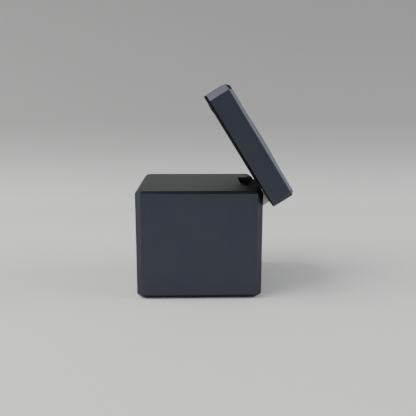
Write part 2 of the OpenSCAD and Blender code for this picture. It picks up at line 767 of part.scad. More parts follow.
module hinge_arm() {
    wedge = max_open / 2;
    reach = 12;
    side = cable_bore / 2 + 0.1;
    color([0.66, 0.65, 0.62]) in_lid() difference() {
        union() {
            translate([hinge_x, 0, -swing_r]) rod_y(2 * hinge_inset, -arm_w / 2, arm_w / 2);
            block(hinge_x - arm_back + skin_t, cube_w / 2, -arm_w / 2, arm_w / 2, -swing_r, 0);
            block(hinge_x - arm_back + skin_t, foot_x1, -arm_w / 2, arm_w / 2, -1, plate_z);
        }
        translate([hinge_x, 0, -swing_r]) {
            rod(cable_bore, 0, far);
            for (s = [-1, 1]) rod_y(pin_d, min(s * (arm_w / 2 - pin_seat), s * far),
                max(s * (arm_w / 2 - pin_seat), s * far));
            // the fixed cable sweeps this wedge as the lid turns
            rotate([90, 0, 0]) linear_extrude(cable_bore + 0.2, center = true) polygon([
                [-side * cos(wedge), side * sin(wedge)],
                [-side * cos(wedge) - reach * sin(wedge), side * sin(wedge) - reach * cos(wedge)],
                [side * cos(wedge) + reach * sin(wedge), side * sin(wedge) - reach * cos(wedge)],
                [side * cos(wedge), side * sin(wedge)]
            ]);
        }
        for (y = arm_screw_y) translate([arm_screw_x, y, 0]) rod(2.04, -3.2, far);
    }
}

// Thin black cover that clips to the arm's rear face.
module arm_cover() {
    x0 = hinge_x - arm_back;
    color([0.05, 0.05, 0.055]) in_lid() difference() {
        block(x0, x0 + skin_t, -arm_w / 2, arm_w / 2, -swing_r, plate_z);
        translate([hinge_x, 0, -swing_r]) rod_y(2 * hinge_inset, -far, far);
    }
}

module arm_screws() {
    color("silver") in_lid() for (y = arm_screw_y)
        translate([arm_screw_x, y, plate_z + plate_t]) cap_screw(2, 4.4 + plate_t / 2, 3.8, 1.4);
}

module hinge_pins() {
    color("silver") on_axis() for (s = [-1, 1]) mirror([0, s < 0 ? 1 : 0, 0])
        rod_y(pin_d, arm_w / 2 - pin_seat, pin_end_y);
}

module disc_springs() {
    color("silver") on_axis() for (s = [-1, 1]) mirror([0, s < 0 ? 1 : 0, 0])
        for (i = [0 : spring_count - 1]) translate([0, spring_y + i * spring_t, 0]) difference() {
            rod_y(2 * ear_r - 0.1, 0, spring_t - 0.02);
            rod_y(pin_d + 0.04, -1, 1);
        }
}

module hinge_nuts() {
    color("silver") on_axis() for (s = [-1, 1]) mirror([0, s < 0 ? 1 : 0, 0]) difference() {
        translate([0, nut_y, 0]) rotate([-90, 0, 0])
            cylinder(d = nut_af / cos(30), h = nut_t, $fn = 6);
        rod_y(pin_d + 0.04, 0, far);
    }
}

module hinge_plate() {
    color([0.55, 0.56, 0.58]) in_lid() difference() {
        slab(inner_w - 2 * slip, inner_d - 2 * slip, plate_z, plate_z + plate_t, inner_cut);
        for (y = arm_screw_y) translate([arm_screw_x, y, 0]) rod(2.3, 0, far);
        translate([hinge_x, 0, 0]) rod(cable_bore, 0, far);
        for (p = corners(plate_screw_x, plate_screw_y)) translate([p[0], p[1], plate_z])
            mirror([0, 0, 1]) flat_hole(2.2, 3.9, far);
        for (x = [-18, 2]) for (s = [-1, 1]) translate([x, s * 21.5, 0]) rod(5, 0, far);
    }
}

module plate_screws() {
    color("silver") in_lid() for (p = corners(plate_screw_x, plate_screw_y))
        translate([p[0], p[1], plate_z]) mirror([0, 0, 1]) flat_screw(screw_d, plate_t + 4, 3.6);
}

module pad_cover() {
    color([0.26, 0.27, 0.28]) in_lid() difference() {
        union() {
            rod(pad_d, pad_seat, lid_t + pad_proud - 0.3);
            translate([0, 0, lid_t + pad_proud - 0.3])
                cylinder(d1 = pad_d, d2 = pad_d - 0.6, h = 0.3);
        }
        // fine groove that marks the magnet ring
        difference() {
            rod(pad_d - 12.4, lid_t + pad_proud - 0.12, far);
            rod(pad_d - 13.2, 0, far);
        }
    }
}

module pad_carrier() {
    color([0.10, 0.10, 0.11]) in_lid() difference() {
        rod(carrier_d, carrier_floor, pad_seat);
        rod(pad_d - 1.4, carrier_floor + carrier_floor_t, far);
        translate([0, -19.6, 0]) rod(3, 0, far);
    }
}

ring_in = pad_d - 10;
ring_out = pad_d - 1.8;

module magnet_yoke() {
    color([0.5, 0.5, 0.52]) in_lid() translate([0, 0, carrier_floor + carrier_floor_t])
        difference() {
            rod(ring_out, 0, 0.5);
            rod(ring_in, -1, 1);
        }
}

module magnet_ring() {
    count = 18;
    color("silver") in_lid() translate([0, 0, carrier_floor + carrier_floor_t + 0.5])
        for (i = [0 : count - 1]) rotate([0, 0, i * 360 / count]) intersection() {
            difference() {
                rod(ring_out - 0.2, 0, 1.8);
                rod(ring_in + 0.2, -1, 3);
            }
            linear_extrude(4) polygon([[0, 0.15], [far, 0.15],
                [far * cos(360 / count), far * sin(360 / count)],
                [-0.15 * sin(360 / count), 0.15 * cos(360 / count)]]);
        }
}

module phone_ferrite() {
    color([0.16, 0.15, 0.15]) in_lid() translate([0, 0, carrier_floor + carrier_floor_t])
        difference() {
            rod(ring_in - 1, 0, 0.8);
            translate([0, -19.6, 0]) rod(3, -1, 2);
        }
}

module phone_coil() {
    color("chocolate") in_lid() translate([0, 0, carrier_floor + carrier_floor_t + 0.8])
        winding(20, ring_in - 9.6, coil_wire);
}

module phone_leads() {
    z = carrier_floor + carrier_floor_t + 1.3;
    r = (ring_in - 9.6) / 2;
    color("gold") in_lid() for (x = [-0.6, 0.6]) wire([
        [x, -r + 0.1, z], [x, -19.6, z], [x, -19.6, lid_board_z + lid_board_t + 1],
        [x, -16, lid_board_z + lid_board_t + 1]
    ], 0.9);
}

lid_post_at = [
    for (sx = [-1, 1]) for (sy = [-1, 1])
        [lid_board_x + sx * (lid_board_w / 2 - 3), sy * (lid_board_d / 2 - 3)]
];

module lid_board() {
    color([0.04, 0.22, 0.12]) in_lid() difference() {
        translate([lid_board_x, 0, 0]) block(-lid_board_w / 2, lid_board_w / 2, -lid_board_d / 2,
            lid_board_d / 2, lid_board_z, lid_board_z + lid_board_t);
        for (p = lid_post_at) translate([p[0], p[1], 0]) rod(2.1, 0, far);
    }
}

module lid_board_posts() {
    color("goldenrod") in_lid() for (p = lid_post_at) translate([p[0], p[1], 0]) {
        rod(4.2, plate_z + plate_t, lid_board_z);
        rod(2, lid_board_z - 0.01, lid_board_z + lid_board_t + 0.5);
    }
}

module lid_chips() {
    z = lid_board_z + lid_board_t;
    color([0.06, 0.06, 0.07]) in_lid() {
        block(-18, -12, -3, 3, z, z + 0.9);
        block(-8, -3, 5, 10, z, z + 0.9);
        block(-2.4, 2.4, -16.4, -12.6, z, z + 0.55);
        block(lid_board_x + lid_board_w / 2 - 4.6, lid_board_x + lid_board_w / 2 - 0.8, -2.4, 2.4,
            z, z + 1.5);
    }
}

module lid_cable_upper() {
    z = lid_board_z + lid_board_t + 0.72;
    color([0.1, 0.1, 0.1]) in_lid() wire([
        [hinge_x, 0, -swing_r + 0.6], [hinge_x, 0, z],
        [lid_board_x + lid_board_w / 2 - 0.7, 0, z]
    ], 1.4);
}

// ---- Drawer ----

// Children are given round the drawer's middle plane.
module in_drawer() {
    translate([bay_x, 0, 0]) children();
}

module drawer_front() {
    color([0.21, 0.23, 0.26]) in_drawer() difference() {
        translate([0, 0, front_z + drawer_h / 2])
            round_slot_y(drawer_w, drawer_h, 1.6, tray_front, cube_d / 2);
        // finger groove under the upper edge
        translate([0, cube_d / 2 + 1.2, front_z + drawer_h]) rotate([0, 90, 0])
            cylinder(r = 2.4, h = 14, center = true);
        for (s = [-1, 1]) translate([s * 11, 0, front_z + drawer_h / 2])
            rod_y(tap_d, 0, tray_front + 1.4);
    }
}

module drawer_tray() {
    half = tray_w / 2;
    color([0.11, 0.11, 0.12]) in_drawer() difference() {
        union() {
            block(-half, half, tray_back, tray_front, tray_floor, puck_z);
            for (s = [-1, 1]) {
                x0 = s > 0 ? half - tray_side_t : -half;
                block(x0, x0 + tray_side_t, tray_back, tray_front, tray_floor,
                    tray_floor + tray_side_h);
                x1 = s > 0 ? half - 0.01 : -half - rib[0] + 0.15;
                block(x1, x1 + rib[0] - 0.14, tray_back + 0.2, rib_front, rib_z, rib_z + rib[1]);
            }
            block(-half, half, tray_back, tray_back + tray_back_t, tray_floor,
                tray_floor + tray_side_h);
            block(-half, half, tray_front - tray_lip_t, tray_front, tray_floor,
                front_z + drawer_h - 2.6);
        }
        translate([0, 0, magnet_z]) rod_y(magnet_d + 0.1, -far, tray_back + magnet_t);
        for (s = [-1, 1]) translate([s * 11, 0, front_z + drawer_h / 2]) rod_y(2.3, 0, far);
    }
}

module drawer_screws() {
    color("silver") in_drawer() for (s = [-1, 1])
        translate([s * 11, tray_front - tray_lip_t, front_z + drawer_h / 2]) rotate([90, 0, 0])
            cap_screw(screw_d, tray_lip_t + 1.2, 3.2, 0.9);
}

module tray_magnet() {
    color("silver") in_drawer() translate([0, 0, magnet_z])
        rod_y(magnet_d, tray_back, tray_back + magnet_t);
}

module puck_housing() {
    color([0.08, 0.08, 0.085]) in_drawer() translate([0, puck_y, 0]) difference() {
        rod(puck_d, puck_z, puck_top - 0.3);
        rod(puck_d - 2.4, puck_z + 1, far);
        block(-1.6, 1.6, -far, -puck_d / 2 + 3, puck_z + 1, puck_z + 2.6);
        for (s = [-1, 1]) translate([s * 11, puck_d / 2 - 2, front_z + drawer_h / 2])
            rod_y(3.6, 0, 4);
    }
}

module puck_cover() {
    dish = 0.5;
    color([0.75, 0.75, 0.76]) in_drawer() translate([0, puck_y, 0]) difference() {
        union() {
            rod(puck_d - 2.6, puck_top - 2.2, puck_top - 0.3);
            rod(puck_d - 1, puck_top - 0.3, puck_top);
        }
        translate([0, 0, puck_top - dish]) cylinder(d1 = 8, d2 = 23, h = dish + 0.001);
    }
}

module puck_ferrite() {
    color([0.16, 0.15, 0.15]) in_drawer() translate([0, puck_y, puck_z + 3]) difference() {
        rod(puck_d - 3.2, 0, 0.7);
        rod(8.4, -1, 2);
    }
}

module puck_coil() {
    color("chocolate") in_drawer() translate([0, puck_y, puck_z + 3.7]) winding(10, puck_d - 4, 0.8);
}

module puck_magnet() {
    color("silver") in_drawer() translate([0, puck_y, 0]) rod(8, puck_z + 1, puck_top - 2.4);
}

module drawer_flex_moving() {
    lower = puck_z;
    upper = flex_top - flex_t - touch;
    r = (upper - lower) / 2;
    color("darkorange") in_drawer() {
        block(-flex_w / 2, flex_w / 2, flex_loop_y, puck_y - puck_d / 2 - 0.1, lower,
            lower + flex_t);
        translate([0, flex_loop_y, lower + r]) intersection() {
            rotate([0, 90, 0]) difference() {
                cylinder(r = r, h = flex_w, center = true);
                cylinder(r = r - flex_t, h = flex_w + 1, center = true);
            }
            block(-far, far, -far, 0, -far, far);
        }
    }
}

body_shell();
deck_plate();
coil_carrier();
earbud_ferrite();
earbud_coil();
earbud_leads();
bay_frame();
bay_screws();
bay_magnet();
drawer_flex_fixed();
hinge_well();
hinge_bracket();
lid_cable_lower();
main_board();
board_screws();
standoffs();
board_chips();
inductors();
capacitors();
board_connectors();
usb_shell();
usb_tongue();
status_led();
light_pipe();
ballast();
base_plate();
base_screws();
foot_pad();
lid_frame();
lid_cover();
lid_bumpers();
hinge_arm();
arm_screws();
hinge_pins();
disc_springs();
hinge_nuts();
arm_cover();
hinge_plate();
plate_screws();
pad_cover();
pad_carrier();
magnet_yoke();
magnet_ring();
phone_ferrite();
phone_coil();
phone_leads();
lid_board();
lid_board_posts();
lid_chips();
lid_cable_upper();
drawer_front();
drawer_tray();
drawer_screws();
tray_magnet();
puck_housing();
puck_cover();
puck_ferrite();
puck_coil();
puck_magnet();
drawer_flex_moving();
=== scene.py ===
"""Looks for the folding charging cube: a chamfered grey metal cube whose lid tilts up on a friction
hinge, with a round phone pad on the lid, a flat deck under it and a drawer with a watch puck."""

import json
import math

import bpy
from mathutils import Matrix, Vector


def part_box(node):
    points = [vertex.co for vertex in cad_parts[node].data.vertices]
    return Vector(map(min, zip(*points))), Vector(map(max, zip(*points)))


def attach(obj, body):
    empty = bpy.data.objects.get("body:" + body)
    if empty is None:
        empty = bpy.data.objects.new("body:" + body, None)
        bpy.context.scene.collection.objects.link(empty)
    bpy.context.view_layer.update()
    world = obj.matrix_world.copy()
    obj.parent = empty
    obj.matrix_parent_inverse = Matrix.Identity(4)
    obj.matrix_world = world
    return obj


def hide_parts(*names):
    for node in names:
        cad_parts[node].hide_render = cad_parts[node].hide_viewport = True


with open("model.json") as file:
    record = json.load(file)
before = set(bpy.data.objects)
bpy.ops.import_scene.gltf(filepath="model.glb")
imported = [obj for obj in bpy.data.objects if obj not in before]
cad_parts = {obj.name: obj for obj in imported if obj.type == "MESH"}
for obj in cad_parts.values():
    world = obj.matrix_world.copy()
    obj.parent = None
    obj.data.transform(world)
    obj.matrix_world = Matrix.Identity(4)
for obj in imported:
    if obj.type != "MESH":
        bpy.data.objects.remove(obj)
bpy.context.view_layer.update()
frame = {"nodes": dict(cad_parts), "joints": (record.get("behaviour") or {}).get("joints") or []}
nodes = frame["nodes"]
MM = 0.001


# ---- Where the lid turns, and its nodes with the lid shut ----

def hinge_of(frame):
    """The lid's hinge among the frame's joints."""
    for joint in frame["joints"]:
        if joint["name"] == "lid_hinge":
            return joint
    raise ValueError("the frame has no lid hinge")


hinge = hinge_of(frame)
HINGE_AT = Vector(hinge["pos_m"])
OPEN_ANGLE = math.radians(-min(hinge["range_deg"]))
OPEN_LID = (
    Matrix.Translation(HINGE_AT)
    @ Matrix.Rotation(OPEN_ANGLE, 4, "Y")
    @ Matrix.Translation(-HINGE_AT)
)
SHUT_LID = OPEN_LID.inverted()


def shut_spots(node):
    """The corners of a lid node's mesh with the lid shut."""
    return [SHUT_LID @ corner.co for corner in nodes[node].data.vertices]


def box_of(spots):
    """Lowest and highest corners of a set of points."""
    low = Vector([min(spot[i] for spot in spots) for i in range(3)])
    high = Vector([max(spot[i] for spot in spots) for i in range(3)])
    return low, high


# ---- Shader maths ----

class Wire:
    """A socket in a material's tree that takes part in plain arithmetic."""

    def __init__(self, finish, socket):
        self.finish = finish
        self.socket = socket

    def maths(self, operation, first, second=None):
        values = {0: first}
        if second is not None:
            values[1] = second
        return self.finish.node("ShaderNodeMath", {"operation": operation}, values)

    def __add__(self, other):
        return self.maths("ADD", self, other)

    def __radd__(self, other):
        return self.maths("ADD", other, self)

    def __sub__(self, other):
        return self.maths("SUBTRACT", self, other)

    def __rsub__(self, other):
        return self.maths("SUBTRACT", other, self)

    def __mul__(self, other):
        return self.maths("MULTIPLY", self, other)

    def __rmul__(self, other):
        return self.maths("MULTIPLY", other, self)

    def __pow__(self, other):
        return self.maths("POWER", self, other)

    def __gt__(self, other):
        return self.maths("GREATER_THAN", self, other)

    def __lt__(self, other):
        return self.maths("LESS_THAN", self, other)

    def __abs__(self):
        return self.maths("ABSOLUTE", self)

    def wrapped(self):
        return self.maths("FRACT", self)


class Finish:
    """One material, with its nodes added by name and its surface on the Principled shader."""

    def __init__(self, name, **fixed):
        self.material = bpy.data.materials.new(name)
        self.material.use_nodes = True
        self.tree = self.material.node_tree
        self.shader = self.tree.nodes["Principled BSDF"]
        for socket, value in fixed.items():
            self.shader.inputs[socket.replace("_", " ")].default_value = value

    def put(self, socket, value):
        """Links a wire to a socket, or sets the socket to a number or a colour."""
        if isinstance(value, Wire):
            self.tree.links.new(value.socket, socket)
        elif isinstance(value, (tuple, list)) and len(value) == 3 and socket.type == "RGBA":
            socket.default_value = (*value, 1)
        else:
            socket.default_value = value

    def node(self, kind, settings, values, out=0):
        """Adds a node with its settings and inputs, and gives one of its outputs."""
        made = self.tree.nodes.new(kind)
        for key, value in settings.items():
            if key == "stops":
                ramp = made.color_ramp
                while len(ramp.elements) < len(value):
                    ramp.elements.new(0.5)
                for stop, (place, colour) in zip(ramp.elements, value):
                    stop.position = place
                    stop.color = (*colour, 1)
            else:
                setattr(made, key, value)
        for key, value in values.items():
            self.put(made.inputs[key], value)
        return Wire(self, made.outputs[out])

    def place(self, scale=(1, 1, 1)):
        """Object coordinates in metres, stretched along each axis."""
        spot = self.node("ShaderNodeTexCoord", {}, {}, out="Object")
        return self.node("ShaderNodeMapping", {"vector_type": "POINT"},
                         {"Vector": spot, "Scale": scale})

    def part(self, vector, axis):
        return self.node("ShaderNodeSeparateXYZ", {}, {0: vector}, out="XYZ".index(axis))

    def noise(self, vector, scale, detail=2.0, rough=0.5):
        return self.node("ShaderNodeTexNoise", {}, {"Vector": vector, "Scale": scale,
                                                    "Detail": detail, "Roughness": rough})

    def cells(self, vector, scale, feature="F1"):
        return self.node("ShaderNodeTexVoronoi", {"feature": feature},
                         {"Vector": vector, "Scale": scale})

    def between(self, amount, low, high, from_low=0.0, from_high=1.0):
        """Carries a range of an amount over to another range, clamped at both ends."""
        return self.node("ShaderNodeMapRange", {"clamp": True},
                         {"Value": amount, "From Min": from_low, "From Max": from_high,
                          "To Min": low, "To Max": high})

    def blend(self, amount, first, second):
        made = self.tree.nodes.new("ShaderNodeMix")
        made.data_type = "RGBA"
        self.put(made.inputs[0], amount)
        self.put(made.inputs[6], first)
        self.put(made.inputs[7], second)
        return Wire(self, made.outputs[2])

    def relief(self, height, depth, strength):
        return self.node("ShaderNodeBump", {},
                         {"Height": height, "Distance": depth, "Strength": strength})

    def surface(self, **parts):
        """Wires up the shader and gives the finished material."""
        for socket, value in parts.items():
            self.put(self.shader.inputs[socket.replace("_", " ")], value)
        return self.material


# ---- Finishes ----

# The casing's anodised metal, and the painted shade, near black, along the cube's bottom edge
METAL_COLOUR = (0.050, 0.055, 0.071)
METAL_LIGHTER = (0.058, 0.063, 0.080)
METAL_ROUGH = 0.34
PAINTED_SHADE_BLACK = (0.003, 0.003, 0.0035)
PAINTED_SHADE_FADE = 0.2 * MM


def blasted_metal(name, shade_painted_below=None):
    """Bead-blasted, anodised aluminium: fine even grain with slow drifts of tone. Below a height it
    can be painted near black, as painted shade along the cut-back bottom of the cube."""
    f = Finish(name, Metallic=1.0)
    spot = f.place()
    drift = f.noise(spot, 45, 3)
    grain = f.noise(spot, 5200, 2, 0.7)
    speck = f.noise(spot, 1500, 2)
    tone = f.between(drift * 0.6 + speck * 0.4, 0, 1, 0.3, 0.7)
    rough_here = f.between(grain * 0.5 + drift * 0.5, METAL_ROUGH - 0.05, METAL_ROUGH + 0.06,
                           0.3, 0.7)
    bump = f.relief(grain, 0.00002, 0.35)
    skin = f.blend(tone, METAL_COLOUR, METAL_LIGHTER)
    # Painted shade: below the given height the colour turns near black, standing in for the shade
    # under the cube's bottom edge
    if shade_painted_below is not None:
        height = f.part(spot, "Z")
        bare = f.between(height, 0, 1, shade_painted_below - PAINTED_SHADE_FADE, shade_painted_below + PAINTED_SHADE_FADE)
        skin = f.blend(bare, PAINTED_SHADE_BLACK, skin)
    return f.surface(Base_Color=skin, Roughness=rough_here, Normal=bump)


# The ring on the deck
MARK_RADIUS = 5.2 * MM
MARK_LINE = 0.3 * MM


def deck_finish(name, colour, lighter, centre):
    """Fine matte deck with a faint ring that marks where an earbud case goes."""
    f = Finish(name, Metallic=0.0, Specular_IOR_Level=0.25)
    spot = f.place()
    grain = f.noise(spot, 3600, 3, 0.65)
    drift = f.noise(spot, 38, 2)
    x = f.part(spot, "X") - centre[0]
    y = f.part(spot, "Y") - centre[1]
    reach = (x * x + y * y) ** 0.5
    ring = f.between(abs(reach - MARK_RADIUS), 1, 0, MARK_LINE, MARK_LINE * 2)
    tone = f.between(drift * 0.5 + grain * 0.5, 0, 1, 0.3, 0.7)
    plain = f.blend(tone, colour, lighter)
    rough_here = f.between(grain, 0.34, 0.46, 0.3, 0.7)
    bump = f.relief(grain, 0.00003, 0.3)
    return f.surface(Base_Color=f.blend(ring * 0.06, plain, (0.3, 0.3, 0.31)),
                     Roughness=rough_here, Normal=bump)


def moulded_plastic(name, colour, lighter, rough, texture=1400, gloss=0.3):
    """Plain moulding with a fine spark-eroded texture."""
    f = Finish(name, Specular_IOR_Level=gloss)
    spot = f.place()
    grain = f.noise(spot, texture, 3, 0.6)
    drift = f.noise(spot, 60, 2)
    tone = f.between(drift, 0, 1, 0.35, 0.65)
    return f.surface(Base_Color=f.blend(tone, colour, lighter),
                     Roughness=f.between(grain, rough - 0.07, rough + 0.08, 0.3, 0.7),
                     Normal=f.relief(grain, 0.00005, 0.35))


def brushed_metal(name, colour, lighter, rough, along="Y", fine=1.0):
    """Metal with fine scratches that run along one axis."""
    f = Finish(name, Metallic=1.0)
    stretch = [2600 * fine] * 3
    stretch["XYZ".index(along)] = 60
    spot = f.place(scale=tuple(stretch))
    lines = f.noise(spot, 1, 3, 0.6)
    drift = f.noise(f.place(), 120, 2)
    tone = f.between(lines * 0.7 + drift * 0.3, 0, 1, 0.3, 0.7)
    return f.surface(Base_Color=f.blend(tone, colour, lighter),
                     Roughness=f.between(lines, rough - 0.08, rough + 0.1, 0.3, 0.7),
                     Normal=f.relief(lines, 0.00002, 0.4))


# Where the arm's black barrel ends, and where its black inner side ends across the arm, both
# from the hinge's axis
BARREL_RADIUS = 5.7 * MM
BARREL_FADE = 0.1 * MM
ARM_MIDDLE = -2.5 * MM


def arm_finish(name, axis, turn):
    """Satin warm grey metal, blackened on its barrel and on the side that faces the deck."""
    f = Finish(name, Metallic=1.0)
    spot = f.place()
    x = f.part(spot, "X") - axis.x
    z = f.part(spot, "Z") - axis.z
    facing = turn.to_3x3() @ Vector((1, 0, 0))
    across = x * facing.x + z * facing.z
    reach = (x * x + z * z) ** 0.5
    outside = f.between(across, 0, 1, ARM_MIDDLE - BARREL_FADE, ARM_MIDDLE + BARREL_FADE)
    clear = f.between(reach, 0, 1, BARREL_RADIUS - BARREL_FADE, BARREL_RADIUS + BARREL_FADE)
    bare = outside * clear
    lines = f.noise(f.place(scale=(2600, 60, 2600)), 1, 3, 0.6)
    tone = f.between(lines, 0, 1, 0.3, 0.7)
    grey = f.blend(tone, (0.33, 0.32, 0.3), (0.42, 0.41, 0.385))
    return f.surface(Base_Color=f.blend(bare, (0.002, 0.002, 0.0022), grey), Metallic=bare,
                     Roughness=f.between(lines, 0.38, 0.52, 0.3, 0.7),
                     Normal=f.relief(lines, 0.00002, 0.4))


def rubber_finish(name, colour, lighter, rough=0.72, pattern=900, gloss=0.35):
    """Matte rubber with fine dimples and a little dust."""
    f = Finish(name, Specular_IOR_Level=gloss)
    spot = f.place()
    dots = f.cells(spot, pattern)
    dust = f.noise(spot, 220, 4, 0.6)
    return f.surface(Base_Color=f.blend(f.between(dust, 0, 1, 0.35, 0.7), colour, lighter),
                     Roughness=f.between(dust, rough - 0.08, rough + 0.1, 0.3, 0.7),
                     Normal=f.relief(dots, 0.00006, 0.4))


def board_finish(name):
    """Green masked laminate with copper tracks just showing through the mask."""
    f = Finish(name, Specular_IOR_Level=0.5, Coat_Weight=0.35, Coat_Roughness=0.15)
    spot = f.place()
    x = f.part(spot, "X")
    y = f.part(spot, "Y")
    blocks = f.cells(spot, 190, "F1")
    lanes = f.between(abs((x * 900 + blocks * 3).wrapped() - 0.5), 1, 0, 0.14, 0.2)
    ties = f.between(abs((y * 760 + blocks * 4).wrapped() - 0.5), 1, 0, 0.12, 0.18)
    side = f.noise(spot, 160, 1) > 0.5
    track = lanes * side + ties * (1 - side)
    via = f.cells(spot, 420) < 0.13
    green = f.blend(track, (0.012, 0.085, 0.04), (0.03, 0.19, 0.085))
    return f.surface(Base_Color=f.blend(via, green, (0.62, 0.5, 0.2)),
                     Roughness=f.between(track, 0.42, 0.33),
                     Metallic=via * 0.8,
                     Normal=f.relief(track, 0.00003, 0.5))


def package_finish(name):
    """Moulded chip package, matte with a slight gloss where the mould was polished."""
    f = Finish(name, Specular_IOR_Level=0.4)
    spot = f.place()
    grain = f.noise(spot, 4000, 2)
    wear = f.noise(spot, 300, 2)
    tone = f.between(wear, 0, 1, 0.3, 0.7)
    return f.surface(Base_Color=f.blend(tone, (0.012, 0.012, 0.014), (0.028, 0.028, 0.03)),
                     Roughness=f.between(grain, 0.4, 0.58, 0.3, 0.7),
                     Normal=f.relief(grain, 0.00002, 0.4))


def wire_copper(name, colour, lighter):
    """Bright copper wire under clear enamel."""
    f = Finish(name, Metallic=1.0, Coat_Weight=0.5, Coat_Roughness=0.12)
    spot = f.place()
    along = f.noise(spot, 900, 3, 0.6)
    return f.surface(Base_Color=f.blend(f.between(along, 0, 1, 0.3, 0.7), colour, lighter),
                     Roughness=f.between(along, 0.22, 0.36, 0.3, 0.7),
                     Normal=f.relief(along, 0.00002, 0.3))


def ferrite_finish(name):
    """Sintered sheet, cracked into small plates under its film."""
    f = Finish(name, Specular_IOR_Level=0.5)
    spot = f.place()
    crack = f.between(f.cells(spot, 520, "DISTANCE_TO_EDGE"), 0, 1, 0.0, 0.06)
    dust = f.noise(spot, 1500, 3)
    return f.surface(Base_Color=f.blend(crack, (0.02, 0.018, 0.017), (0.055, 0.05, 0.047)),
                     Roughness=f.between(dust, 0.35, 0.5, 0.3, 0.7),
                     Normal=f.relief(crack, 0.00003, 0.5))


def film_finish(name):
    """Amber polyimide film with copper tracks showing along it."""
    f = Finish(name, Specular_IOR_Level=0.5, Coat_Weight=0.3, Coat_Roughness=0.2)
    spot = f.place()
    x = f.part(spot, "X")
    lanes = f.between(abs((x * 1300).wrapped() - 0.5), 1, 0, 0.22, 0.28)
    mottle = f.noise(spot, 500, 2)
    amber = f.blend(lanes, (0.45, 0.15, 0.012), (0.62, 0.27, 0.05))
    return f.surface(Base_Color=amber, Roughness=f.between(mottle, 0.3, 0.42, 0.3, 0.7),
                     Metallic=lanes * 0.4, Normal=f.relief(lanes, 0.00002, 0.5))


# The strips' reach across the tongue, their inner end along X, and half the tongue's thickness
CONTACTS_HALF_WIDTH = 2.9 * MM
CONTACTS_END = -26.5 * MM
TONGUE_FACES = 0.4 * MM


def contacts_finish(name, height):
    """Black tongue with gold contact strips on both faces."""
    f = Finish(name, Specular_IOR_Level=0.5)
    spot = f.place()
    y = f.part(spot, "Y")
    x = f.part(spot, "X")
    z = f.part(spot, "Z")
    lanes = (abs((y * 2000).wrapped() - 0.5) < 0.26) * (abs(y) < CONTACTS_HALF_WIDTH)
    flat = abs(z - height) < TONGUE_FACES
    strip = lanes * flat * (x < CONTACTS_END)
    grain = f.noise(spot, 3000, 2)
    return f.surface(Base_Color=f.blend(strip, (0.012, 0.012, 0.013), (0.75, 0.55, 0.22)),
                     Metallic=strip, Roughness=f.between(grain, 0.28, 0.42, 0.3, 0.7),
                     Normal=f.relief(strip, 0.00004, 0.5))


def clear_plastic(name, glow):
    """Slightly cloudy clear moulding that can glow a little."""
    f = Finish(name, Transmission_Weight=0.6, IOR=1.49, Emission_Strength=glow)
    spot = f.place()
    cloud = f.noise(spot, 900, 3)
    f.shader.inputs["Emission Color"].default_value = (0.75, 0.9, 1, 1)
    tone = f.between(cloud, 0, 1, 0.3, 0.7)
    return f.surface(Base_Color=f.blend(tone, (0.72, 0.78, 0.8), (0.85, 0.9, 0.92)),
                     Roughness=f.between(cloud, 0.12, 0.24, 0.3, 0.7),
                     Normal=f.relief(cloud, 0.00002, 0.2))


def silicone_finish(name, colour, lighter):
    """Soft-touch silicone with a very fine skin."""
    f = Finish(name, Specular_IOR_Level=0.4, Sheen_Weight=0.15)
    spot = f.place()
    skin = f.noise(spot, 4200, 3, 0.7)
    dust = f.noise(spot, 150, 4, 0.6)
    return f.surface(Base_Color=f.blend(f.between(dust, 0, 1, 0.35, 0.7), colour, lighter),
                     Roughness=f.between(skin * 0.5 + dust * 0.5, 0.52, 0.66, 0.35, 0.65),
                     Normal=f.relief(skin, 0.00003, 0.4))


tongue_low, tongue_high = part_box("usb_tongue")
coil_low, coil_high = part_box("earbud_coil")
case_spot = ((coil_low[0] + coil_high[0]) / 2, (coil_low[1] + coil_high[1]) / 2)
BASE_CUT_TOP = 2.1 * MM  # upper edge of the cut along the cube's bottom

GREY_METAL = blasted_metal("grey_metal")
# The shell's metal with painted shade, near black, below the top of the bottom cut
SHELL_METAL = blasted_metal("shell_metal_painted_shade", shade_painted_below=BASE_CUT_TOP)
DECK = deck_finish("deck_grey", (0.016, 0.017, 0.019), (0.021, 0.022, 0.025), case_spot)
INNER = moulded_plastic("inner_black", (0.010, 0.010, 0.011), (0.018, 0.018, 0.019), 0.5)
BLACK = moulded_plastic("matte_black", (0.0015, 0.0015, 0.0018), (0.003, 0.003, 0.0034), 0.7,
                        gloss=0.15)
LINING = moulded_plastic("lid_lining", (0.0015, 0.0015, 0.0017), (0.0028, 0.0028, 0.003), 0.9,
                         texture=2600, gloss=0.05)
PACKAGE = package_finish("chip_black")
CHOKE = moulded_plastic("choke_grey", (0.03, 0.03, 0.032), (0.06, 0.06, 0.062), 0.6,
                        texture=2500)
CAN = brushed_metal("can_silver", (0.6, 0.6, 0.62), (0.74, 0.74, 0.76), 0.28, "Z")
FERRITE = ferrite_finish("ferrite_dark")
COPPER = wire_copper("coil_copper", (0.6, 0.24, 0.1), (0.78, 0.36, 0.18))
LEADS = wire_copper("lead_copper", (0.68, 0.36, 0.12), (0.85, 0.5, 0.2))
BOARD = board_finish("board_green")
IVORY = moulded_plastic("connector_ivory", (0.55, 0.52, 0.42), (0.66, 0.63, 0.53), 0.42)
BRIGHT = brushed_metal("bright_steel", (0.5, 0.5, 0.51), (0.66, 0.66, 0.67), 0.3, "Y")
SPRING = brushed_metal("spring_steel", (0.28, 0.28, 0.29), (0.42, 0.42, 0.43), 0.32, "X")
SCREW = brushed_metal("screw_steel", (0.38, 0.38, 0.4), (0.55, 0.55, 0.57), 0.34, "Z")
MAGNET = brushed_metal("nickel_magnet", (0.6, 0.59, 0.57), (0.74, 0.73, 0.71), 0.2, "Z",
                       fine=0.4)
ARM = arm_finish("arm_satin", HINGE_AT, OPEN_LID)
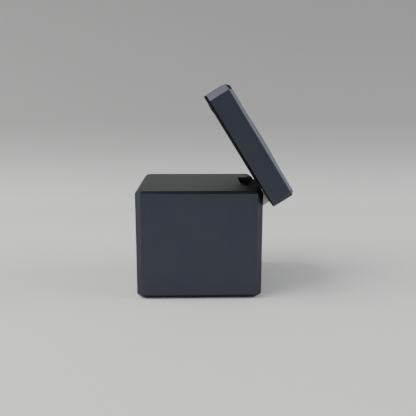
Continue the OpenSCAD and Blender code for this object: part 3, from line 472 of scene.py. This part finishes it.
BRASS = brushed_metal("turned_brass", (0.55, 0.4, 0.16), (0.7, 0.53, 0.25), 0.28, "Z")
LED = clear_plastic("led_white", glow=0.0)
LIGHT = clear_plastic("light_clear", glow=0.15)
BALLAST = brushed_metal("ballast_zinc", (0.25, 0.26, 0.27), (0.4, 0.41, 0.42), 0.45, "X")
FOOT = rubber_finish("foot_rubber", (0.0018, 0.0018, 0.0018), (0.004, 0.004, 0.004),
                     gloss=0.12)
BUMPER = rubber_finish("bumper_rubber", (0.010, 0.010, 0.010), (0.020, 0.020, 0.020))
PAD = silicone_finish("pad_silicone", (0.030, 0.031, 0.034), (0.040, 0.041, 0.044))
PUCK = moulded_plastic("puck_satin", (0.48, 0.48, 0.49), (0.55, 0.55, 0.56), 0.32, texture=600)
JACKET = rubber_finish("cable_jacket", (0.008, 0.008, 0.008), (0.016, 0.016, 0.016), 0.5,
                       pattern=2500)
FILM = film_finish("flex_film")
TONGUE = contacts_finish("contact_tongue", (tongue_low[2] + tongue_high[2]) / 2)

WEARS = {
    "body_shell": SHELL_METAL, "lid_frame": GREY_METAL, "drawer_front": GREY_METAL,
    "deck_plate": DECK, "coil_carrier": INNER, "bay_frame": INNER, "drawer_tray": INNER,
    "pad_carrier": INNER, "base_plate": INNER, "hinge_well": BLACK, "lid_cover": LINING,
    "puck_housing": BLACK, "usb_tongue": TONGUE, "board_chips": PACKAGE, "lid_chips": PACKAGE,
    "inductors": CHOKE, "capacitors": CAN, "earbud_ferrite": FERRITE, "phone_ferrite": FERRITE,
    "puck_ferrite": FERRITE, "earbud_coil": COPPER, "phone_coil": COPPER, "puck_coil": COPPER,
    "earbud_leads": LEADS, "phone_leads": LEADS, "main_board": BOARD, "lid_board": BOARD,
    "board_connectors": IVORY, "usb_shell": BRIGHT, "hinge_bracket": BRIGHT,
    "hinge_plate": BRIGHT, "disc_springs": SPRING, "bay_screws": SCREW, "board_screws": SCREW,
    "base_screws": SCREW, "arm_screws": SCREW, "plate_screws": SCREW, "drawer_screws": SCREW,
    "hinge_nuts": SCREW, "hinge_pins": SCREW,
    "bay_magnet": MAGNET, "tray_magnet": MAGNET, "magnet_ring": MAGNET, "puck_magnet": MAGNET,
    "magnet_yoke": BRIGHT, "arm_cover": BLACK, "hinge_arm": ARM, "standoffs": BRASS,
    "lid_board_posts": BRASS, "status_led": LED, "light_pipe": LIGHT, "ballast": BALLAST,
    "foot_pad": FOOT, "lid_bumpers": BUMPER, "pad_cover": PAD, "puck_cover": PUCK,
    "lid_cable_lower": JACKET, "lid_cable_upper": JACKET, "drawer_flex_fixed": FILM,
    "drawer_flex_moving": FILM,
}
for name, material in WEARS.items():
    holder = nodes[name]
    if not holder.material_slots:
        holder.data.materials.append(material)
    for held in holder.material_slots:
        held.material = material


# ---- Pieces ----


def deselect():
    if bpy.context.object and bpy.context.object.mode != "OBJECT":
        bpy.ops.object.mode_set(mode="OBJECT")
    bpy.ops.object.select_all(action="DESELECT")


def alone(piece):
    deselect()
    piece.select_set(True)
    bpy.context.view_layer.objects.active = piece


def softened(node, body, width):
    """A copy of a hard piece with its sharp edges broken, as a machined or moulded edge is."""
    piece = nodes[node].copy()
    piece.data = nodes[node].data.copy()
    piece.name = node + "_edged"
    piece.data.name = piece.name
    piece.parent = None
    piece.matrix_world = Matrix.Identity(4)
    bpy.context.scene.collection.objects.link(piece)
    alone(piece)
    bpy.ops.object.mode_set(mode="EDIT")
    bpy.ops.mesh.select_all(action="SELECT")
    bpy.ops.mesh.remove_doubles(threshold=2e-6)
    bpy.ops.mesh.dissolve_limited(angle_limit=math.radians(0.4))
    bpy.ops.object.mode_set(mode="OBJECT")
    bevel = piece.modifiers.new("Edges", "BEVEL")
    bevel.width = width
    bevel.segments = 2
    bevel.limit_method = "ANGLE"
    bevel.angle_limit = math.radians(24)
    bevel.miter_outer = "MITER_ARC"
    bpy.ops.object.modifier_apply(modifier=bevel.name)
    weights = piece.modifiers.new("Flats", "WEIGHTED_NORMAL")
    weights.mode = "FACE_AREA"
    weights.keep_sharp = True
    bpy.ops.object.shade_smooth_by_angle(angle=math.radians(50))
    bpy.ops.object.modifier_apply(modifier=weights.name)
    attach(piece, body)
    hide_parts(node)


def stand_for(piece, node, body):
    """Lets a finished piece take a CAD node's place, its finish and its body."""
    piece.name = node + "_turned"
    piece.data.name = piece.name
    piece.data.materials.append(WEARS[node])
    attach(piece, body)
    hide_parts(node)


def disc(radius, low, high, centre=(0, 0), sides=128):
    """A round blank with its upper face selected, left in edit mode."""
    deselect()
    bpy.ops.mesh.primitive_cylinder_add(vertices=sides, radius=radius, depth=high - low,
                                        location=(*centre, (low + high) / 2))
    bpy.ops.object.transform_apply(location=True, rotation=False, scale=True)
    blank = bpy.context.object
    select_cap(blank, up=1)
    return blank


def select_cap(blank, up):
    """Leaves edit mode on with only the upper or the lower end face selected."""
    if bpy.context.object.mode != "EDIT":
        bpy.ops.object.mode_set(mode="EDIT")
    bpy.ops.mesh.select_all(action="DESELECT")
    bpy.ops.mesh.select_mode(type="FACE")
    bpy.ops.object.mode_set(mode="OBJECT")
    ends = [face for face in blank.data.polygons if up * face.normal.z > 0.99]
    cap = max(ends, key=lambda face: (up * face.center.z, face.area))
    cap.select = True
    bpy.ops.object.mode_set(mode="EDIT")


def step(inward, rise):
    """One turn of the profile: the selected end face shrinks by a width and moves along Z."""
    bpy.ops.mesh.inset(thickness=inward, use_even_offset=True)
    bpy.ops.transform.translate(value=(0, 0, rise))


def shoulder(radius, up=1, cuts=4):
    """Carries the selected end face on over a rounded edge, upwards or, with up=-1, downwards."""
    turns = [math.pi / 2 * i / cuts for i in range(cuts + 1)]
    for first, second in zip(turns, turns[1:]):
        step(radius * (math.cos(first) - math.cos(second)),
             up * radius * (math.sin(second) - math.sin(first)))


def done(piece, place=None):
    """Leaves edit mode, moves the mesh to its place and smooths its round faces."""
    bpy.ops.object.mode_set(mode="OBJECT")
    if place is not None:
        piece.data.transform(place)
    alone(piece)
    bpy.ops.object.shade_smooth_by_angle(angle=math.radians(40))
    return piece


def pad_disc():
    """The phone pad: a silicone disc with a soft shoulder and two fine rings over the magnets."""
    low, high = box_of(shut_spots("pad_cover"))
    magnet_low, magnet_high = box_of(shut_spots("magnet_ring"))
    round_edge = 0.35 * MM
    groove = 0.3 * MM
    groove_depth = 0.12 * MM
    magnet_width = 4.0 * MM
    centre_sag = 0.01 * MM
    radius = (high.x - low.x) / 2
    ring_out = (magnet_high.x - magnet_low.x) / 2
    ring_in = ring_out - magnet_width
    centre = ((low.x + high.x) / 2, 0)
    piece = disc(radius, low.z, high.z - round_edge, centre, 192)
    shoulder(round_edge)
    reach = radius - round_edge
    for ring in (ring_out, ring_in):
        step(reach - ring, 0)
        step(groove * 0.3, -groove_depth)
        step(groove * 0.4, 0)
        step(groove * 0.3, groove_depth)
        reach = ring - groove
    step(reach * 0.5, -centre_sag)
    stand_for(done(piece, OPEN_LID), "pad_cover", "lid")


def puck_face():
    """The watch puck's face: a round rim that falls into a shallow dish."""
    low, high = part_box("puck_cover")
    radius = (high[0] - low[0]) / 2
    centre = ((low[0] + high[0]) / 2, (low[1] + high[1]) / 2)
    rim = 0.3 * MM
    skirt = 0.48 * MM
    rim_width = 2.4 * MM
    ledge = 0.7 * MM
    dish = 0.5 * MM
    dish_radius = radius - rim_width
    piece = disc(radius, high[2] - skirt, high[2] - rim, centre)
    shoulder(rim)
    step(radius - rim - dish_radius, 0)
    cuts = 9
    depths = [dish * (1 - (1 - i / cuts) ** 2) for i in range(cuts)]
    for upper, lower in zip(depths, depths[1:]):
        step(dish_radius / cuts, upper - lower)
    select_cap(piece, up=-1)
    step(ledge, 0)
    drop = low[2] - (high[2] - skirt)
    bpy.ops.mesh.extrude_region_move(TRANSFORM_OT_translate={"value": (0, 0, drop)})
    stand_for(done(piece), "puck_cover", "drawer")


def bumper_domes():
    """The two soft domes that the closed lid rests on."""
    spots = shut_spots("lid_bumpers")
    pieces = []
    for side in (-1, 1):
        low, high = box_of([spot for spot in spots if spot.y * side > 0])
        radius = (high.x - low.x) / 2
        centre = ((low.x + high.x) / 2, (low.y + high.y) / 2)
        edge = (high.z - low.z) * 0.3
        piece = disc(radius, low.z + edge, high.z, centre, 64)
        select_cap(piece, up=-1)
        shoulder(edge, up=-1, cuts=5)
        pieces.append(done(piece, OPEN_LID))
    deselect()
    for piece in pieces:
        piece.select_set(True)
    bpy.context.view_layer.objects.active = pieces[0]
    bpy.ops.object.join()
    stand_for(pieces[0], "lid_bumpers", "lid")


softened("body_shell", "cube", 0.16 * MM)
softened("deck_plate", "cube", 0.1 * MM)
softened("foot_pad", "cube", 0.2 * MM)
softened("base_plate", "cube", 0.12 * MM)
softened("lid_frame", "lid", 0.16 * MM)
softened("hinge_arm", "lid", 0.25 * MM)
softened("drawer_front", "drawer", 0.16 * MM)
softened("lid_cover", "lid", 0.1 * MM)
softened("drawer_tray", "drawer", 0.15 * MM)
softened("usb_shell", "cube", 0.08 * MM)
pad_disc()
puck_face()
bumper_domes()


# ---- Studio ----

# In metres
FLOOR_WIDTH = 4.0
FLOOR_DEPTH = 1.72
FLOOR_BACK = 0.24
WALL_HEIGHT = 1.4
WALL_LEAN = 0.05
COVE_BEND = 0.05


def cove():
    """Pale floor that turns up into a wall behind the object, the wall painted darker towards its
    top as painted shade.
    """
    f = Finish("cove_paper", Specular_IOR_Level=0.2, Roughness=0.9)
    spot = f.place()
    fibre = f.noise(spot, 900, 3)
    paper = f.between(fibre, 0, 1, 0.3, 0.7)
    floor_tone = f.blend(paper, (0.84, 0.845, 0.85), (0.86, 0.865, 0.87))
    # Painted shade: the wall's colour darkens with height, standing in for the light falling off up
    # the wall
    wall_painted_shade = f.node("ShaderNodeValToRGB", {"stops": [
        (0.0, (0.72, 0.73, 0.73)), (0.1, (0.60, 0.61, 0.61)), (0.37, (0.36, 0.365, 0.365)),
        (1.0, (0.29, 0.295, 0.295))]}, {0: f.part(spot, "Z") * 5})
    back = f.between(f.part(spot, "Y"), 0, 1, FLOOR_BACK - 0.14, FLOOR_BACK + 0.02)
    material = f.surface(Base_Color=f.blend(back, floor_tone, wall_painted_shade))
    deselect()
    bpy.ops.mesh.primitive_plane_add(size=1, location=(0, FLOOR_BACK - FLOOR_DEPTH / 2, 0))
    floor = bpy.context.object
    floor.name = "cove"
    floor.scale = (FLOOR_WIDTH, FLOOR_DEPTH, 1)
    bpy.ops.object.transform_apply(location=True, rotation=False, scale=True)
    bpy.ops.object.mode_set(mode="EDIT")
    bpy.ops.mesh.select_all(action="DESELECT")
    bpy.ops.mesh.select_mode(type="EDGE")
    bpy.ops.object.mode_set(mode="OBJECT")
    for edge in floor.data.edges:
        ends = [floor.data.vertices[i].co.y for i in edge.vertices]
        edge.select = min(ends) > 0
    bpy.ops.object.mode_set(mode="EDIT")
    rise = (0, WALL_LEAN, WALL_HEIGHT)
    bpy.ops.mesh.extrude_region_move(TRANSFORM_OT_translate={"value": rise})
    bpy.ops.object.mode_set(mode="OBJECT")
    bend = floor.modifiers.new("Bend", "BEVEL")
    bend.width = COVE_BEND
    bend.segments = 12
    bend.limit_method = "ANGLE"
    bpy.ops.object.modifier_apply(modifier=bend.name)
    bpy.ops.object.shade_smooth_by_angle(angle=math.radians(60))
    floor.data.materials.append(material)


def lamp(name, at, towards, size, watts, colour):
    """A soft rectangular panel that faces a point."""
    data = bpy.data.lights.new(name, "AREA")
    data.shape = "RECTANGLE"
    data.size, data.size_y = size
    data.energy = watts
    data.color = colour
    light = bpy.data.objects.new(name, data)
    bpy.context.scene.collection.objects.link(light)
    light.location = at
    light.rotation_euler = (Vector(towards) - Vector(at)).to_track_quat("-Z", "Y").to_euler()


cove()
lamp("left panel", (-1.0, -0.1, 0.9), (0, 0.0, 0.03), (1.6, 1.5), 30.0, (1, 0.985, 0.94))
lamp("right panel", (1.2, 0.1, 0.6), (0, 0.0, 0.05), (1.4, 1.0), 17.0, (1, 0.99, 0.96))
lamp("front panel", (-0.1, -1.4, 0.45), (0, 0.1, 0.0), (2.0, 0.4), 3.5, (0.98, 0.99, 1))

world = bpy.data.worlds.new("room")
bpy.context.scene.world = world
world.use_nodes = True
sky = world.node_tree.nodes["Background"]
sky.inputs["Color"].default_value = (0.9, 0.94, 1.0, 1)
sky.inputs["Strength"].default_value = 0.16

# The camera's place in metres and its turns in radians
CAMERA_AT = (-0.002343, -0.284335, 0.098389)
CAMERA_TURN = -0.0258812
CAMERA_DIP = 0.202897
CAMERA_ROLL = 0.00166071

camera_data = bpy.data.cameras.new("view")
camera_data.lens = 46.655
camera_data.sensor_width = 36
camera_data.clip_start = 0.01
camera = bpy.data.objects.new("view", camera_data)
bpy.context.scene.collection.objects.link(camera)
camera.matrix_world = (
    Matrix.Translation(CAMERA_AT)
    @ Matrix.Rotation(CAMERA_TURN, 4, "Z")
    @ Matrix.Rotation(math.pi / 2 - CAMERA_DIP, 4, "X")
    @ Matrix.Rotation(CAMERA_ROLL, 4, "Z")
)
bpy.context.scene.camera = camera
